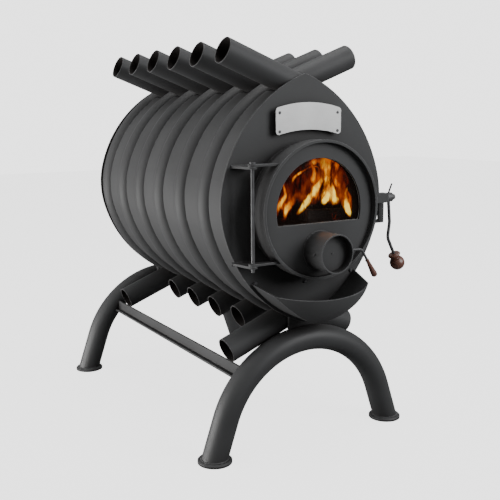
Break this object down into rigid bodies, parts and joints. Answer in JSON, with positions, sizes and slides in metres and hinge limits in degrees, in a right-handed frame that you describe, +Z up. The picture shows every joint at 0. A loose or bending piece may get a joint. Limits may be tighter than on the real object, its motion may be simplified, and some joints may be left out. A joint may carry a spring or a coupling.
{
  "type": "workshop stove",
  "caption": "Tubular convection wood stove: bent air tubes wrap a round firebox behind a teardrop front with a glazed door, air throttle, latch, ash lip, flue damper and arched legs.",
  "frame": {"origin": "on the floor, at the middle of the whole stove's footprint box", "axes": "+Z up, -Y out of the door, +Y towards the flue, +X to the right of someone facing the door"},
  "size_m": [0.6298, 1.0278, 0.9445],
  "materials": {
    "body_paint": "satin dark grey heat-resistant paint with a fine grain",
    "tube_paint": "satin dark grey heat-resistant paint on drawn tube",
    "leg_paint": "half-gloss dark grey paint",
    "wood": "turned reddish hardwood, waxed",
    "window_glass": "clear heat-resistant ceramic glass",
    "rope_seal": "braided glass-fibre rope",
    "bare_plate": "brushed, bare",
    "plain_steel": "dark oiled steel",
    "hot_steel": "scaled steel, dulled by the fire"
  },
  "bodies": {
    "root": {"right_air_tube_1": "tube_paint", "right_air_tube_2": "tube_paint", "right_air_tube_3": "tube_paint", "right_air_tube_4": "tube_paint", "right_air_tube_5": "tube_paint", "right_air_tube_6": "tube_paint", "left_air_tube_1": "tube_paint", "left_air_tube_2": "tube_paint", "left_air_tube_3": "tube_paint", "left_air_tube_4": "tube_paint", "left_air_tube_5": "tube_paint", "left_air_tube_6": "tube_paint", "front_plate": "body_paint", "rear_plate": "body_paint", "left_jacket_strips": "body_paint", "right_jacket_strips": "body_paint", "door_collar": "body_paint", "upper_hinge_bracket": "body_paint", "lower_hinge_bracket": "body_paint", "hinge_pin": "plain_steel", "latch_keeper": "body_paint", "ash_lip": "body_paint", "ash_lip_bolts": "plain_steel", "name_plate": "bare_plate", "name_plate_rivets": "bare_plate", "front_leg_arch": "leg_paint", "front_left_foot": "leg_paint", "front_right_foot": "leg_paint", "rear_leg_arch": "leg_paint", "rear_left_foot": "leg_paint", "rear_right_foot": "leg_paint", "left_side_bar": "leg_paint", "right_side_bar": "leg_paint", "front_saddle": "leg_paint", "rear_saddle": "leg_paint", "flue_spigot": "body_paint", "baffle_plate": "hot_steel", "baffle_ledges": "hot_steel"},
    "door": {"door_ring": "body_paint", "door_panel": "body_paint", "door_rope_seal": "rope_seal", "glass_gasket": "rope_seal", "window_glass": "window_glass", "glass_retainer": "body_paint", "retainer_screws": "plain_steel", "air_inlet_tube": "body_paint", "upper_door_arm": "body_paint", "lower_door_arm": "body_paint", "latch_bracket": "body_paint"},
    "throttle": {"throttle_disc": "body_paint", "throttle_lever": "plain_steel", "throttle_grip": "wood"},
    "latch": {"latch_hub": "plain_steel", "latch_cam": "plain_steel", "latch_tommy_pin": "plain_steel", "latch_crank": "plain_steel", "latch_knob": "wood"},
    "damper": {"damper_flap": "hot_steel", "damper_spindle": "plain_steel", "damper_handle": "plain_steel"}
  },
  "joints": [
    {"name": "door_hinge", "type": "hinge", "parent": "root", "child": "door", "pos_m": [-0.175, -0.44183, 0.58], "axis": [0, 0, -1], "range_deg": [0, 110]},
    {"name": "latch_turn", "type": "hinge", "parent": "door", "child": "latch", "pos_m": [0.2, -0.44883, 0.582], "axis": [-1, 0, 0], "range_deg": [0, 90]},
    {"name": "throttle_turn", "type": "hinge", "parent": "door", "child": "throttle", "pos_m": [0, -0.48883, 0.473], "axis": [-1, 0, 0], "range_deg": [0, 90]},
    {"name": "damper_turn", "type": "hinge", "parent": "root", "child": "damper", "pos_m": [0, 0.43187, 0.672], "axis": [-1, 0, 0], "range_deg": [0, 90]}
  ]
}
